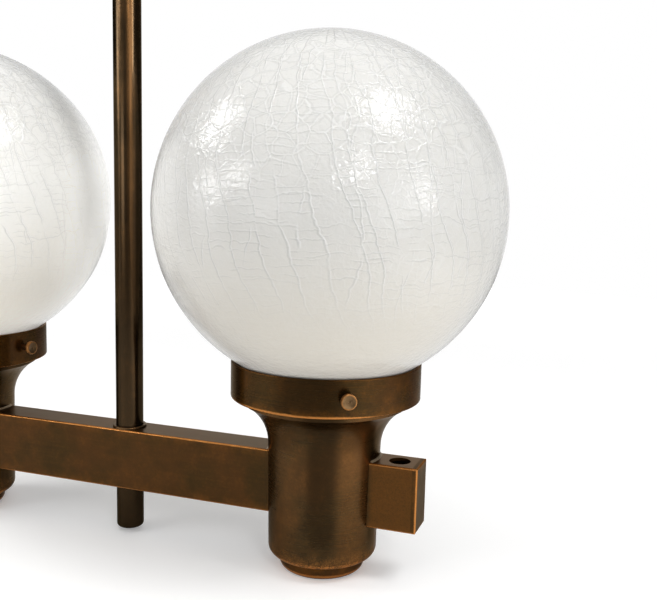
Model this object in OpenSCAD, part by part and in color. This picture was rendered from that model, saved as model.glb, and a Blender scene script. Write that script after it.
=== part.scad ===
// A two-light pendant lamp in patinated bronze.
// A round stem carries a flat bar, and the bar carries a turned cup near each end.
// Each cup holds a gallery in which an opal glass globe stands, with a lampholder and a bulb inside it.
// Z is up, X runs along the bar, and the origin is on the ceiling, over the middle of the stem.

/* [Overall] */
// Height from the ceiling down to the top face of the bar
drop = 712; // [560:1:1200]
// Distance from the centre line of the stem to the centre line of each cup
arm_reach = 132; // [120:1:180]

/* [Bar] */
// Width of the bar from front to back
bar_w = 22; // [21:0.5:28]
// Height of the bar
bar_h = 38; // [34:0.5:46]
// Wall of the bar, which is a box tube
bar_wall = 2; // [1.5:0.1:2.4]
// Rounding of the bar's long edges
bar_edge_r = 1; // [0.5:0.1:1.4]
// Length of bar beyond the centre line of each cup
bar_overhang = 59; // [56:0.5:75]
// Thickness of the plate that closes each end of the bar
end_plate_t = 3; // [2:0.1:5]
// Depth of the pad behind the end plate, which fits inside the tube
end_pad_t = 2; // [1:0.1:4]
// Radius of the hole in the top of each bar end
end_hole_r = 6.2; // [3:0.1:7]
// Distance from the end of the bar to the middle of that hole
end_hole_in = 13; // [12:0.5:16]

/* [Stem] */
// Radius of the stem
stem_r = 8.5; // [8:0.1:9]
// Wall of the stem, which is a round tube
stem_wall = 1.5; // [1:0.1:2]
// Length of stem below the underside of the bar
stem_tail = 28; // [15:0.5:30]
// Thickness of the rounded plug that closes the lower end of the stem
plug_t = 4; // [3:0.1:6]
// Rounding of the plug's lower edge
plug_edge_r = 2.5; // [1:0.1:2.8]
// Length of the plug's spigot inside the stem
plug_spigot = 10; // [6:0.5:14]
// Width of the washer's flange around the stem
washer_lip = 2; // [1:0.1:2.2]
// Thickness of the washer that lies on the bar around the stem
washer_t = 1.2; // [0.8:0.1:2]
// Rounding of the washer's top edge
washer_edge_r = 0.6; // [0.2:0.1:0.8]
// Radius of the screw that fixes the bar to the stem
stem_screw_r = 2; // [1.5:0.1:2.5]
// Radius of that screw's head
stem_screw_head_r = 4; // [3:0.1:5]
// Thickness of that screw's head
stem_screw_head_t = 2; // [1.6:0.1:3]

/* [Cup] */
// Radius of the cup's round body above its rounded lower edge
cup_r = 32; // [28:0.5:35]
// How much wider the body is where the flare begins
cup_taper = 1; // [0:0.1:2]
// Wall of the cup
cup_wall = 2.5; // [2:0.1:3.5]
// Length of cup below the underside of the bar
cup_tail = 22.5; // [18:0.5:30]
// Thickness of the cup's floor
cup_floor_t = 3; // [2:0.1:5]
// Rounding of the cup's lower edge
cup_edge_r = 5; // [2.5:0.5:7]
// Height above the bar at which the cup begins to flare
cove_start = 5; // [2:0.5:10]
// Radius of the hollow curve by which the cup flares up to the gallery
cove_r = 29; // [26:0.5:34]
// Radius of the cup's rim under the gallery
rim_r = 48; // [44:0.5:50]
// Width of the flat top of that rim
rim_w = 4; // [3:0.1:6]

/* [Foot] */
// Radius of the foot disc where it meets the cup
foot_r = 25; // [20:0.5:26]
// Height of the foot disc
foot_h = 8.5; // [7:0.1:12]
// Rounding of the foot disc's lower edge
foot_edge_r = 4; // [2:0.5:5]

/* [Gallery] */
// Height of the gallery ring
gallery_h = 21; // [18:0.5:26]
// Thickness of the gallery's floor
gallery_floor_t = 2; // [1.5:0.1:3]
// Wall of the gallery ring where the screw goes through it
ring_wall = 3.5; // [2.5:0.1:5]
// Wall of the gallery ring at its thinner top edge
lip_wall = 1.8; // [1.2:0.1:2.4]
// Depth of that thinner wall below the top edge
lip_h = 5; // [3:0.5:6]
// Rounding of the gallery ring's lower edge
ring_edge_r = 0.8; // [0.3:0.1:1.5]
// Rounding of the gallery ring's top edge
lip_edge_r = 0.4; // [0.2:0.1:0.9]
// Space between the neck of the globe and the wall of the ring
neck_space = 2.5; // [1.5:0.1:3]
// Width of each of the two pads that the neck is pressed against
pad_w = 9; // [6:0.5:12]
// Height of each pad
pad_h = 7; // [4:0.5:9]

/* [Globe] */
// Radius of the globe
globe_r = 100; // [90:1:110]
// Thickness of the globe's glass
globe_wall = 3; // [2:0.1:4]
// Outer radius of the globe's neck
neck_r = 49; // [46:0.5:52]
// Thickness of the glass in the neck
neck_wall = 3.5; // [2.5:0.1:4.5]
// Gap around the globe at the top edge of the gallery
globe_gap = 0.5; // [0.3:0.1:1]

/* [Thumb screw] */
// Radius of the thumb screw's shank
screw_r = 2; // [1.5:0.1:2.5]
// Height of the screw above the underside of the gallery
screw_up = 11; // [8:0.5:13]
// Radius of the screw's round flat head
screw_head_r = 4.3; // [3:0.1:6]
// Thickness of the screw's head
screw_head_t = 2.6; // [1.5:0.1:4]
// Rounding of the head's outer edge
screw_head_edge_r = 0.9; // [0.3:0.1:1.2]
// Length of shank that shows between the ring and the head
screw_stand = 4.5; // [4.5:0.1:7]
// Direction of the right gallery's screw, in degrees from X
right_screw_turn = -59; // [-180:1:180]
// Direction of the left gallery's screw, in degrees from X
left_screw_turn = -4; // [-180:1:180]

/* [Threaded tube and nuts] */
// Outer radius of the threaded tube that holds each cup together
rod_r = 5; // [4:0.1:6]
// Radius of the tube's bore
rod_bore_r = 3.5; // [3:0.1:3.8]
// Distance across the corners of a nut
nut_corners = 19.6; // [16:0.1:22]
// Thickness of a nut
nut_t = 5; // [3:0.5:7]
// Depth of thread in the foot disc
foot_thread = 6; // [4:0.5:6.5]

/* [Lampholder] */
// Radius of the porcelain lampholder
holder_r = 20; // [18:0.5:23]
// Rounding of the lampholder's top edge
holder_rim_r = 1.9; // [1:0.1:2.8]
// Rounding of the step down to its base
holder_step_r = 2.5; // [1:0.1:4]
// Radius of its narrower base
holder_base_r = 15; // [12:0.5:17]
// Height of that base
holder_base_h = 10; // [6:0.5:12]
// Height of the whole lampholder
holder_h = 48; // [44:0.5:56]
// Depth of thread in the lampholder's base
holder_thread = 8; // [6:0.5:10]
// Thickness of porcelain between that thread and the socket
holder_web = 4; // [3:0.5:6]
// Thickness of the brass screw shell in the socket
shell_t = 0.6; // [0.4:0.1:1]
// Height of the centre contact
contact_h = 3; // [2:0.1:5]
// Radius of the contact's tip
contact_r = 2.5; // [1.5:0.1:4]
// Radius of the disc that carries it
contact_disc_r = 6.5; // [5:0.1:9]
// Thickness of that disc
contact_disc_t = 0.8; // [0.5:0.1:1.5]

/* [Bulb] */
// Radius of the bulb's glass
bulb_r = 30; // [25:0.5:35]
// Length of the bulb from its contact to its tip
bulb_len = 104; // [98:1:115]
// Radius of the bulb's screw cap
cap_r = 13.2; // [13:0.1:13.5]
// Height of the screw cap above the contact
cap_h = 26; // [24:0.5:28]
// Thickness of the bulb's glass
bulb_wall = 0.8; // [0.6:0.1:1.2]
// Height of the bulb's straight neck above the cap
bulb_neck_h = 6.5; // [4:0.5:10]
// Radius of the round thread on the cap
cap_thread_r = 0.9; // [0.6:0.1:1.1]
// Distance from one turn of that thread to the next
cap_thread_pitch = 3.6; // [3:0.1:4]
// Number of its turns
cap_thread_turns = 5; // [4:1:5]
// Radius of the contact under the cap
cap_tip_r = 4.4; // [3:0.1:5]
// Height of that contact
cap_tip_h = 1.2; // [0.8:0.1:2]
// Height of the insulator between the contact and the cap
cap_cone_h = 4; // [3:0.1:4.5]

/* [Ceiling bracket] */
// Length of the plate that is screwed to the ceiling
plate_l = 84; // [76:1:88]
// Width of the plate
plate_w = 20; // [18:0.5:26]
// Thickness of the plate and its two ears
plate_t = 3; // [2:0.1:4]
// Distance between the plate's two screw holes
plate_hole_gap = 66; // [56:1:70]
// Radius of those holes
plate_hole_r = 2.6; // [2:0.1:3.5]
// Height from the ceiling down to the pivot bolt
pivot_down = 18; // [16:0.5:22]
// Half the width of an ear, and the radius of its round end
ear_r = 8; // [7:0.1:9]
// Radius of the pivot bolt
pivot_r = 3; // [2.5:0.1:4]
// Distance across the corners of the bolt's head and nut
pivot_corners = 11.5; // [10:0.1:13]
// Thickness of the bolt's head and nut
pivot_head_t = 4; // [3:0.1:5]

/* [Stem head] */
// Thickness of the tang between the ears
tang_t = 12; // [8:0.5:14]
// Half the width of the tang, and the radius of its round end
tang_r = 7.5; // [6:0.1:8]
// Height from the pivot bolt down to the round shoulder
tang_drop = 10; // [9:0.5:14]
// Height of the round shoulder above the stem
shoulder_h = 6; // [4:0.5:8]
// Length of the spigot inside the stem
head_spigot = 6; // [4:0.5:6]

/* [Canopy] */
// Radius of the canopy
canopy_r = 55; // [50:0.5:65]
// Height of the canopy
canopy_h = 50; // [50:0.5:70]
// Wall of the canopy
canopy_wall = 1.5; // [1:0.1:2]
// Rounding of the canopy's lower edge
canopy_edge_r = 8; // [3:0.5:12]
// Gap between the ceiling and the canopy's rim
canopy_gap = 3; // [2:0.1:3.5]
// Radius of the collar below the canopy
collar_r = 14; // [12:0.5:18]
// Height of the collar
collar_h = 14; // [10:0.5:20]
// Rounding of the collar's lower edge
collar_edge_r = 2.3; // [1:0.1:3]
// Radius of the collar's grub screw
grub_r = 2; // [1.5:0.1:2.5]
// Width of the driver slot in the screw heads
slot_w = 0.8; // [0.4:0.1:1.2]
// Depth of that slot
slot_depth = 1; // [0.5:0.1:1.4]

/* [Wiring] */
// Radius of the flexible cable in the stem
flex_r = 3; // [2.5:0.1:3.2]
// Radius of each of the two leads in the bar
lead_r = 1.6; // [1.2:0.1:1.7]
// Inner bend of the leads and of the cable
bend_r = 6; // [5.5:0.1:6.5]
// Width of the terminal block, along the bar
block_w = 16; // [13:0.5:20]
// Depth of the terminal block, away from the stem
block_d = 18; // [14:0.5:24]
// Height of the terminal block
block_h = 11; // [8:0.5:13]
// Radius of its two wire ways
block_way_r = 2; // [1.5:0.1:2.4]
// Radius of the holes over its clamping screws
block_hole_r = 2.3; // [1.5:0.1:2.6]

/* [Hidden] */
$fn = 96;

// Clearances, measured on the radius or on one face
slide_gap = 0.08;   // a piece that slides or turns on a shaft
thread_gap = 0.05;  // a screw in its thread
braze_gap = 0.15;   // a piece that is brazed or pushed into its place
seat_gap = 0.3;     // a loose piece above or beside its seat
cap_gap = 0.15;     // the bulb's cap in its screw shell
over = 1;           // how far a cut runs past the face that it opens

// Heights above the top face of the bar
gallery_z = cove_start + cove_r;
gallery_top = gallery_z + gallery_h;
cup_bottom = -bar_h - cup_tail;
foot_bottom = cup_bottom - foot_h;
bar_mid = -bar_h / 2;
nut_z = gallery_z + gallery_floor_t;
holder_z = nut_z + nut_t;
rod_top = holder_z + holder_thread - seat_gap;
rod_bottom = cup_bottom - foot_thread + seat_gap;
stem_bottom = -bar_h - stem_tail;

// Sizes that follow from those above
bar_half = arm_reach + bar_overhang;
ring_in_r = neck_r + neck_space;
gallery_r = ring_in_r + ring_wall;
lip_in_r = gallery_r - lip_wall;
globe_z = gallery_top + sqrt(pow(globe_r, 2) - pow(lip_in_r - globe_gap, 2));
neck_z = nut_z + seat_gap;
screw_z = gallery_z + screw_up;
washer_r = stem_r + washer_lip;
spigot_r = stem_r - stem_wall - thread_gap;
cup_top_r = cup_r + cup_taper;
shell_in_r = cap_r + cap_gap;
socket_r = shell_in_r + shell_t + braze_gap;
socket_z = holder_thread + holder_web;
bulb_z = socket_z + contact_h + seat_gap;
ear_in = tang_t / 2 + seat_gap;
ear_out = ear_in + plate_t;
tube_top = -pivot_down - tang_drop - shoulder_h;
canopy_bottom = -canopy_gap - canopy_h;
exit_z = tube_top - head_spigot - flex_r - over;
cable_bend = bend_r + flex_r;
lead_bend = bend_r;
lead_apart = lead_r + slide_gap;
cable_end = bar_mid + lead_bend + over;

bronze = [0.25, 0.17, 0.10];
worn_bronze = [0.55, 0.38, 0.22];
opal = [0.93, 0.92, 0.88];

// The corner of a square outside a round of radius r, for cutting a profile's corner at x, y
// sx and sy are 1 or -1, and point from the profile out through that corner
module corner_cut(x, y, r, sx, sy) {
    translate([x - sx * r, y - sy * r])
        difference() {
            translate([sx > 0 ? 0 : -r - over, sy > 0 ? 0 : -r - over])
                square(r + over);
            circle(r);
        }
}

// A rectangle with rounded corners, centred on the origin
module round_rect(w, h, r) {
    difference() {
        square([w, h], center = true);
        for (sx = [-1, 1], sy = [-1, 1])
            corner_cut(sx * w / 2, sy * h / 2, r, sx, sy);
    }
}

// A rectangle of the profile plane, from one corner to the opposite one
module span(r0, z0, r1, z1) {
    translate([r0, z0])
        square([r1 - r0, z1 - z0]);
}

// A tube along Z
module tube(r_out, r_in, z0, z1) {
    translate([0, 0, z0])
        difference() {
            cylinder(h = z1 - z0, r = r_out);
            translate([0, 0, -over])
                cylinder(h = z1 - z0 + 2 * over, r = r_in);
        }
}

// A round hole or rod along Y, from y0 to y1
module along_y(r, y0, y1) {
    translate([0, y0, 0])
        rotate([-90, 0, 0])
            cylinder(h = y1 - y0, r = r);
}

// A round hole or rod along X, from x0 to x1
module along_x(r, x0, x1) {
    translate([x0, 0, 0])
        rotate([0, 90, 0])
            cylinder(h = x1 - x0, r = r);
}

// A hexagon nut or bolt head along Z, with its bore
module hexagon(corners, t, bore) {
    difference() {
        cylinder(h = t, r = corners / 2, $fn = 6);
        if (bore > 0)
            translate([0, 0, -over])
                cylinder(h = t + 2 * over, r = bore);
    }
}

module on_bar() {
    translate([0, 0, -drop])
        children();
}

// side is 1 for the right cup and -1 for the left one
module on_cup(side) {
    translate([side * arm_reach, 0, -drop])
        children();
}

module ceiling_bracket() {
    color("silver")
        difference() {
            union() {
                translate([-plate_l / 2, -plate_w / 2, -plate_t])
                    cube([plate_l, plate_w, plate_t]);
                for (side = [-1, 1])
                    ear(side);
            }
            for (side = [-1, 1])
                translate([side * plate_hole_gap / 2, 0, -plate_t - over])
                    cylinder(h = plate_t + 2 * over, r = plate_hole_r);
            translate([0, 0, -pivot_down])
                along_x(pivot_r + thread_gap, -ear_out - over, ear_out + over);
        }
}

// One ear of the bracket, which hangs from the plate and carries the pivot bolt
module ear(side) {
    x0 = side > 0 ? ear_in : -ear_out;
    translate([0, 0, -pivot_down])
        along_x(ear_r, x0, x0 + plate_t);
    translate([x0, -ear_r, -pivot_down])
        cube([plate_t, 2 * ear_r, pivot_down - plate_t / 2]);
}

module pivot_bolt() {
    color("silver")
        translate([0, 0, -pivot_down]) {
            along_x(pivot_r, -ear_out - pivot_head_t - over, ear_out + pivot_head_t / 2);
            translate([ear_out, 0, 0])
                rotate([0, 90, 0])
                    hexagon(pivot_corners, pivot_head_t, 0);
        }
}

module pivot_nut() {
    color("silver")
        translate([-ear_out - pivot_head_t, 0, -pivot_down])
            rotate([0, 90, 0])
                hexagon(pivot_corners, pivot_head_t, pivot_r + thread_gap);
}

module stem_head() {
    color(bronze)
        difference() {
            translate([0, 0, -pivot_down]) {
                along_x(tang_r, -tang_t / 2, tang_t / 2);
                translate([-tang_t / 2, -tang_r, -tang_drop])
                    cube([tang_t, 2 * tang_r, tang_drop]);
                translate([0, 0, -tang_drop - shoulder_h])
                    cylinder(h = shoulder_h, r = stem_r);
                translate([0, 0, -tang_drop - shoulder_h - head_spigot])
                    cylinder(h = head_spigot + shoulder_h / 2, r = spigot_r);
                translate([0, 0, -tang_drop - shoulder_h / 2])
                    cylinder(h = shoulder_h, r = pivot_r);
            }
            translate([0, 0, -pivot_down])
                along_x(pivot_r + slide_gap, -tang_t / 2 - over, tang_t / 2 + over);
        }
}

module canopy_profile(inset) {
    r = canopy_r - inset;
    z = canopy_bottom + inset;
    difference() {
        span(0, z, r, -canopy_gap + (inset > 0 ? over : 0));
        corner_cut(r, z, canopy_edge_r - inset, 1, -1);
    }
}

module canopy() {
    color(bronze)
        difference() {
            rotate_extrude()
                difference() {
                    canopy_profile(0);
                    canopy_profile(canopy_wall);
                }
            translate([0, 0, canopy_bottom - over])
                cylinder(h = canopy_wall + 2 * over, r = stem_r + slide_gap);
        }
}

module canopy_collar() {
    color(bronze)
        difference() {
            rotate_extrude()
                difference() {
                    span(stem_r + slide_gap, canopy_bottom - collar_h, collar_r, canopy_bottom);
                    corner_cut(collar_r, canopy_bottom - collar_h, collar_edge_r, 1, -1);
                }
            translate([0, 0, canopy_bottom - collar_h / 2])
                along_y(grub_r + thread_gap, 0, collar_r + over);
        }
}

module canopy_grub_screw() {
    color(worn_bronze)
        translate([0, 0, canopy_bottom - collar_h / 2])
            difference() {
                along_y(grub_r, stem_r + slide_gap, collar_r - seat_gap);
                driver_slot(grub_r, collar_r - seat_gap);
            }
}

// A slot across the head of a screw that lies along Y, in the head's face at y
module driver_slot(head_r, y) {
    translate([-head_r - over, y - slot_depth, -slot_w / 2])
        cube([2 * (head_r + over), slot_depth + over, slot_w]);
}

// A terminal block with two wire ways and two clamping screws, on the end of the cable
module terminal_block() {
    block_y = stem_r + flex_r + over;
    color("white")
        translate([0, block_y, exit_z])
            difference() {
                translate([-block_w / 2, 0, -block_h / 2])
                    cube([block_w, block_d, block_h]);
                for (side = [-1, 1])
                    translate([side * block_w / 4, 0, 0]) {
                        along_y(block_way_r, block_d / 2, block_d + over);
                        for (along = [block_d / 4, 3 * block_d / 4])
                            translate([0, along, -block_h / 2 - over])
                                cylinder(h = block_h / 2 - block_way_r, r = block_hole_r);
                    }
            }
}

// A quarter bend of a round wire, from the direction +Z at the origin round to +X
// A thinner core runs on from each end, so that the bend joins the straight wire there
module wire_bend(wire_r, bend) {
    translate([bend, 0, 0])
        rotate([90, 0, 0])
            rotate([0, 0, 90])
                rotate_extrude(angle = 90)
                    translate([bend, 0])
                        circle(wire_r);
    translate([0, 0, -over])
        cylinder(h = 2 * over, r = wire_r / 2);
    translate([0, 0, bend])
        along_x(wire_r / 2, bend - over, bend + over);
}

module stem_cable() {
    cable_start = exit_z - cable_bend;
    color("dimgray") {
        translate([0, 0, -drop + cable_end])
            cylinder(h = drop - cable_end + cable_start, r = flex_r);
        translate([0, 0, cable_start])
            rotate([0, 0, 90])
                wire_bend(flex_r, cable_bend);
        translate([0, 0, exit_z])
            along_y(flex_r, cable_bend, stem_r + flex_r + over);
    }
}

module stem_tube() {
    color(bronze)
        difference() {
            tube(stem_r, stem_r - stem_wall, -drop + stem_bottom + plug_t, tube_top);
            translate([0, 0, exit_z])
                along_y(flex_r + over, 0, stem_r + over);
            translate([0, 0, -drop + bar_mid]) {
                along_x(lead_r + over, -stem_r - over, stem_r + over);
                along_y(stem_screw_r + thread_gap, 0, stem_r + over);
            }
        }
}

module stem_end_plug() {
    color(bronze)
        on_bar() {
            rotate_extrude()
                difference() {
                    span(0, stem_bottom, stem_r, stem_bottom + plug_t);
                    corner_cut(stem_r, stem_bottom, plug_edge_r, 1, -1);
                }
            translate([0, 0, stem_bottom + plug_edge_r])
                cylinder(h = plug_t - plug_edge_r + plug_spigot, r = spigot_r);
        }
}

module stem_washer() {
    color(worn_bronze)
        on_bar()
            rotate_extrude()
                difference() {
                    span(stem_r + braze_gap, 0, washer_r, washer_t);
                    corner_cut(washer_r, washer_t, washer_edge_r, 1, 1);
                }
}

// The screw at the back that fixes the bar to the stem
module stem_screw() {
    color(worn_bronze)
        translate([0, 0, -drop + bar_mid])
            difference() {
                union() {
                    along_y(stem_screw_r, stem_r - stem_wall, bar_w / 2 + stem_screw_head_t / 2);
                    along_y(stem_screw_head_r, bar_w / 2, bar_w / 2 + stem_screw_head_t);
                }
                driver_slot(stem_screw_head_r, bar_w / 2 + stem_screw_head_t);
            }
}

module bar() {
    color(bronze)
        on_bar()
            difference() {
                translate([0, 0, bar_mid])
                    rotate([90, 0, 90])
                        linear_extrude(2 * (bar_half - end_plate_t), center = true)
                            difference() {
                                round_rect(bar_w, bar_h, bar_edge_r);
                                square([bar_w - 2 * bar_wall, bar_h - 2 * bar_wall], center = true);
                            }
                translate([0, 0, -bar_h - over])
                    cylinder(h = bar_h + 2 * over, r = stem_r + braze_gap);
                for (side = [-1, 1]) {
                    translate([side * arm_reach, 0, -bar_h - over])
                        cylinder(h = bar_h + 2 * over, r = rod_r + braze_gap);
                    translate([side * (bar_half - end_hole_in), 0, bar_mid])
                        cylinder(h = bar_h, r = end_hole_r);
                }
                translate([0, 0, bar_mid])
                    along_y(stem_screw_r + braze_gap, 0, bar_w);
            }
}

// The plate has the bar's section, its outer edges are rounded, and its pad fits inside the tube
module end_plate(side) {
    block_l = end_plate_t + 2 * bar_edge_r;
    color(bronze)
        translate([side * bar_half, 0, -drop + bar_mid])
            mirror([side > 0 ? 1 : 0, 0, 0]) {
                intersection() {
                    rotate([90, 0, 90])
                        linear_extrude(end_plate_t)
                            round_rect(bar_w, bar_h, bar_edge_r);
                    translate([block_l / 2, 0, -bar_h])
                        linear_extrude(2 * bar_h)
                            round_rect(block_l, bar_w, bar_edge_r);
                    translate([block_l / 2, bar_w, 0])
                        rotate([90, 0, 0])
                            linear_extrude(2 * bar_w)
                                round_rect(block_l, bar_h, bar_edge_r);
                }
                translate([end_plate_t / 2, 0, 0])
                    rotate([90, 0, 90])
                        linear_extrude(end_plate_t / 2 + end_pad_t)
                            square([pad_span(bar_w), pad_span(bar_h)], center = true);
            }
}

function pad_span(outer) = outer - 2 * (bar_wall + braze_gap);

// A lead runs from the cable's end out through the stem, along the bar and up the threaded tube
module lead(side) {
    run = arm_reach - 2 * lead_bend - lead_apart;
    up_z = bar_mid + lead_bend;
    color("sienna")
        on_bar()
            mirror([side > 0 ? 0 : 1, 0, 0]) {
                translate([lead_apart, 0, up_z])
                    cylinder(h = cable_end - up_z, r = lead_r);
                translate([lead_apart, 0, up_z])
                    mirror([0, 0, 1])
                        wire_bend(lead_r, lead_bend);
                translate([0, 0, bar_mid])
                    along_x(lead_r, lead_apart + lead_bend, lead_apart + lead_bend + run);
                translate([arm_reach, 0, up_z])
                    mirror([0, 0, 1])
                        mirror([1, 0, 0])
                            wire_bend(lead_r, lead_bend);
                translate([arm_reach, 0, up_z])
                    cylinder(h = holder_z + socket_z - seat_gap - up_z, r = lead_r);
            }
}

// The hollow of the flare follows its outside at the distance of the wall
module cup_profile() {
    cove_x = cup_top_r + cove_r;
    floor_z = cup_bottom + cup_floor_t;
    difference() {
        span(0, cup_bottom, rim_r, gallery_z);
        corner_cut(cup_r, cup_bottom, cup_edge_r, 1, -1);
        polygon([
            [cup_r, cup_bottom - over],
            [rim_r + over, cup_bottom - over],
            [rim_r + over, cove_start],
            [cup_top_r, cove_start],
            [cup_r, cup_bottom + cup_edge_r]
        ]);
        translate([cove_x, cove_start])
            circle(cove_r);
        polygon([
            [0, floor_z],
            [cup_r - cup_wall, floor_z],
            [cup_top_r - cup_wall, cove_start],
            [cup_top_r - cup_wall, cove_start + over],
            [0, cove_start + over]
        ]);
        difference() {
            span(0, cove_start, rim_r - rim_w, gallery_z + over);
            translate([cove_x, cove_start])
                circle(cove_r + cup_wall);
        }
    }
}

module cup(side) {
    slot_w = bar_w + 2 * braze_gap;
    slot_h = bar_h + 2 * braze_gap;
    color(bronze)
        on_cup(side)
            difference() {
                rotate_extrude()
                    cup_profile();
                translate([-cup_top_r - over, -slot_w / 2, bar_mid - slot_h / 2])
                    cube([2 * (cup_top_r + over), slot_w, slot_h]);
                translate([0, 0, cup_bottom - over])
                    cylinder(h = cup_floor_t + 2 * over, r = rod_r + braze_gap);
            }
}

module foot(side) {
    color(bronze)
        on_cup(side)
            rotate_extrude()
                difference() {
                    span(0, foot_bottom, foot_r, cup_bottom);
                    corner_cut(foot_r, foot_bottom, foot_edge_r, 1, -1);
                    span(0, cup_bottom - foot_thread, rod_r + thread_gap, cup_bottom + over);
                }
}

module threaded_tube(side) {
    color("silver")
        on_cup(side)
            difference() {
                tube(rod_r, rod_bore_r, rod_bottom, rod_top);
                translate([0, 0, bar_mid])
                    along_x(lead_r + over, side > 0 ? -2 * rod_r : 0, side > 0 ? 0 : 2 * rod_r);
            }
}

// One nut holds the foot against the cup's floor, and the other holds the gallery on the cup
module nuts(side) {
    color("silver")
        on_cup(side)
            for (z = [cup_bottom + cup_floor_t, nut_z])
                translate([0, 0, z])
                    hexagon(nut_corners, nut_t, rod_r + thread_gap);
}

module gallery_profile() {
    difference() {
        span(rod_r + braze_gap, gallery_z, gallery_r, gallery_top);
        corner_cut(gallery_r, gallery_z, ring_edge_r, 1, -1);
        corner_cut(gallery_r, gallery_top, lip_edge_r, 1, 1);
        span(0, nut_z, ring_in_r, gallery_top + over);
        span(0, gallery_top - lip_h, lip_in_r, gallery_top + over);
    }
}

// The screw presses the neck against two fixed pads, a third of a turn away on each side
module gallery(side, turn) {
    color(bronze)
        on_cup(side)
            rotate([0, 0, turn])
                difference() {
                    union() {
                        rotate_extrude()
                            gallery_profile();
                        for (away = [120, 240])
                            rotate([0, 0, away])
                                pad();
                    }
                    translate([0, 0, screw_z])
                        along_x(screw_r + slide_gap, neck_r - over, gallery_r + over);
                }
}

module pad() {
    intersection() {
        tube(ring_in_r + ring_wall / 2, neck_r + seat_gap, screw_z - pad_h / 2, screw_z + pad_h / 2);
        translate([0, -pad_w / 2, screw_z - pad_h])
            cube([gallery_r, pad_w, 2 * pad_h]);
    }
}

module thumb_screw(side, turn) {
    head_x = gallery_r + screw_stand;
    color(worn_bronze)
        on_cup(side)
            rotate([0, 0, turn])
                translate([0, 0, screw_z]) {
                    along_x(screw_r, neck_r + seat_gap, head_x + screw_head_t / 2);
                    translate([head_x, 0, 0])
                        rotate([0, 90, 0])
                            rotate_extrude()
                                difference() {
                                    span(0, 0, screw_head_r, screw_head_t);
                                    corner_cut(screw_head_r, screw_head_t, screw_head_edge_r, 1, 1);
                                }
                }
}

module lampholder(side) {
    color("white")
        on_cup(side)
            translate([0, 0, holder_z])
                rotate_extrude()
                    difference() {
                        union() {
                            span(0, 0, holder_base_r, holder_h);
                            difference() {
                                span(0, holder_base_h, holder_r, holder_h);
                                corner_cut(holder_r, holder_base_h, holder_step_r, 1, -1);
                            }
                        }
                        corner_cut(holder_r, holder_h, holder_rim_r, 1, 1);
                        span(0, -over, rod_r + thread_gap, holder_thread);
                        span(0, 0, rod_bore_r, holder_h);
                        span(0, socket_z, socket_r, holder_h + over);
                    }
}

// The screw shell lines the socket, and a rolled edge holds it at the bottom
module screw_shell(side) {
    shell_z = holder_z + socket_z;
    color("gold")
        on_cup(side) {
            tube(shell_in_r + shell_t, shell_in_r, shell_z, holder_z + holder_h - braze_gap);
            tube(shell_in_r + shell_t, shell_in_r - shell_t, shell_z, shell_z + shell_t);
        }
}

module contact(side) {
    color("gold")
        on_cup(side)
            translate([0, 0, holder_z + socket_z]) {
                cylinder(h = contact_disc_t, r = contact_disc_r);
                cylinder(h = contact_h, r = contact_r);
            }
}

// The radius and height at which a line from the neck's corner touches the bulb's ball
ball_z = bulb_len - bulb_r;
bulb_neck_r = cap_r - cap_gap;
bulb_shoulder = cap_h + bulb_neck_h;
ball_far = sqrt(pow(bulb_neck_r, 2) + pow(ball_z - bulb_shoulder, 2));
touch_turn = acos(bulb_r / ball_far) + atan2(bulb_neck_r, ball_z - bulb_shoulder);

module bulb_profile(inset) {
    r = bulb_r - inset;
    neck = bulb_neck_r - inset;
    intersection() {
        union() {
            translate([0, ball_z])
                circle(r);
            polygon([
                [0, cap_h + inset],
                [neck, cap_h + inset],
                [neck, bulb_shoulder],
                [r * sin(touch_turn), ball_z - r * cos(touch_turn)],
                [0, ball_z]
            ]);
        }
        span(0, 0, bulb_r, bulb_len);
    }
}

module bulb(side) {
    color("ivory")
        on_cup(side)
            translate([0, 0, holder_z + bulb_z])
                rotate_extrude()
                    difference() {
                        bulb_profile(0);
                        bulb_profile(bulb_wall);
                    }
}

// The screw cap has its round thread as rings, an insulator below them and the contact at the bottom
module bulb_cap(side) {
    body_r = cap_r - cap_thread_r;
    body_z = cap_tip_h + cap_cone_h;
    color("silver")
        on_cup(side)
            translate([0, 0, holder_z + bulb_z])
                rotate_extrude()
                    union() {
                        polygon([
                            [0, 0],
                            [cap_tip_r, 0],
                            [cap_tip_r, cap_tip_h],
                            [cap_tip_r + over, cap_tip_h],
                            [body_r - cap_thread_r, body_z],
                            [body_r, body_z],
                            [body_r, cap_h],
                            [0, cap_h]
                        ]);
                        for (turn = [0:cap_thread_turns - 1])
                            translate([body_r, body_z + cap_thread_r + turn * cap_thread_pitch])
                                circle(cap_thread_r);
                    }
}

module globe(side) {
    color(opal)
        on_cup(side)
            rotate_extrude()
                difference() {
                    union() {
                        intersection() {
                            translate([0, globe_z])
                                circle(globe_r);
                            span(0, globe_z - globe_r, globe_r, globe_z + globe_r);
                        }
                        span(0, neck_z, neck_r, globe_z - sqrt(pow(globe_r, 2) - pow(neck_r, 2)) + over);
                    }
                    translate([0, globe_z])
                        circle(globe_r - globe_wall);
                    span(0, neck_z - over, neck_r - neck_wall, globe_z);
                }
}

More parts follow.
